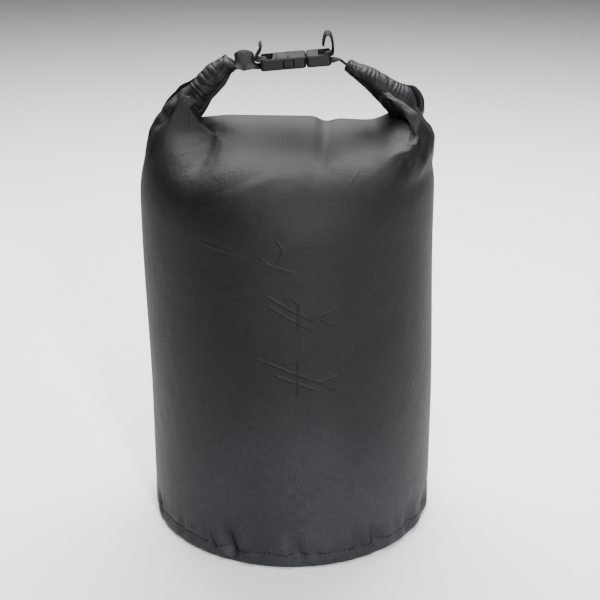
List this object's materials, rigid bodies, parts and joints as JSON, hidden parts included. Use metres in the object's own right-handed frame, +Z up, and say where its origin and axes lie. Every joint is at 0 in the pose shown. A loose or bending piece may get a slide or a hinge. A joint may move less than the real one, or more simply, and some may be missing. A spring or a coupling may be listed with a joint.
{
  "type": "roll top dry bag",
  "caption": "Filled roll-top dry bag standing on its round base, the mouth rolled down and its ends turned up and buckled into a carrying loop.",
  "frame": {"origin": "middle of the round base, on the surface that the bag stands on", "axes": "+Z up the bag, X along the rolled mouth and the buckle with the socket at -X, the back seam at +Y"},
  "size_m": [0.2408, 0.2408, 0.4179],
  "materials": {
    "coated_fabric": "satin coated",
    "seam_tape": "satin",
    "thread": "matte",
    "webbing": "matte woven",
    "stiffener": "matte",
    "buckle_plastic": "satin moulded"
  },
  "bodies": {
    "bag": {"body_panel": "coated_fabric", "base_panel": "coated_fabric", "base_seam_tape": "seam_tape", "side_seam_tape": "seam_tape", "base_seam_thread": "thread", "side_seam_thread": "thread", "rolled_top": "coated_fabric", "mouth_webbing_middle": "webbing", "mouth_stiffener_middle": "stiffener"},
    "left_end": {"left_roll_end": "coated_fabric", "mouth_webbing_left": "webbing", "mouth_stiffener_left": "stiffener", "left_webbing_tab": "webbing"},
    "right_end": {"right_roll_end": "coated_fabric", "mouth_webbing_right": "webbing", "mouth_stiffener_right": "stiffener", "right_webbing_tab": "webbing"},
    "socket": {"buckle_socket": "buckle_plastic"},
    "plug": {"buckle_plug": "buckle_plastic"},
    "front_arm": {"front_latch_arm": "buckle_plastic"},
    "rear_arm": {"rear_latch_arm": "buckle_plastic"}
  },
  "joints": [
    {"name": "left_roll_swing", "type": "hinge", "parent": "bag", "child": "left_end", "pos_m": [-0.086, 0, 0.342], "axis": [0, -1, 0], "range_deg": [0, 100], "deforming": ["front_latch_arm", "rear_latch_arm"]},
    {"name": "right_roll_swing", "type": "hinge", "parent": "bag", "child": "right_end", "pos_m": [0.10139, 0, 0.35839], "axis": [0, 1, 0], "range_deg": [0, 100]},
    {"name": "socket_turn", "type": "hinge", "parent": "left_end", "child": "socket", "pos_m": [-0.0223, 0, 0.39473], "axis": [0, 1, 0], "range_deg": [0, 100]},
    {"name": "plug_turn", "type": "hinge", "parent": "right_end", "child": "plug", "pos_m": [0.0295, 0, 0.39927], "axis": [0, -1, 0], "range_deg": [0, 100]},
    {"name": "front_arm_squeeze", "type": "hinge", "parent": "plug", "child": "front_arm", "pos_m": [0.01466, -0.009, 0.39797], "axis": [0.0872, 0, -0.9962], "range_deg": [0, 7], "stiffness_Nm_per_rad": 0.05},
    {"name": "rear_arm_squeeze", "type": "hinge", "parent": "plug", "child": "rear_arm", "pos_m": [0.01466, 0.009, 0.39797], "axis": [-0.0872, 0, 0.9962], "range_deg": [0, 7], "stiffness_Nm_per_rad": 0.05}
  ],
  "couplings": [
    {"joint": "right_roll_swing", "follows": "left_roll_swing", "ratio": 1},
    {"joint": "socket_turn", "follows": "left_roll_swing", "ratio": 1},
    {"joint": "plug_turn", "follows": "left_roll_swing", "ratio": 1}
  ]
}
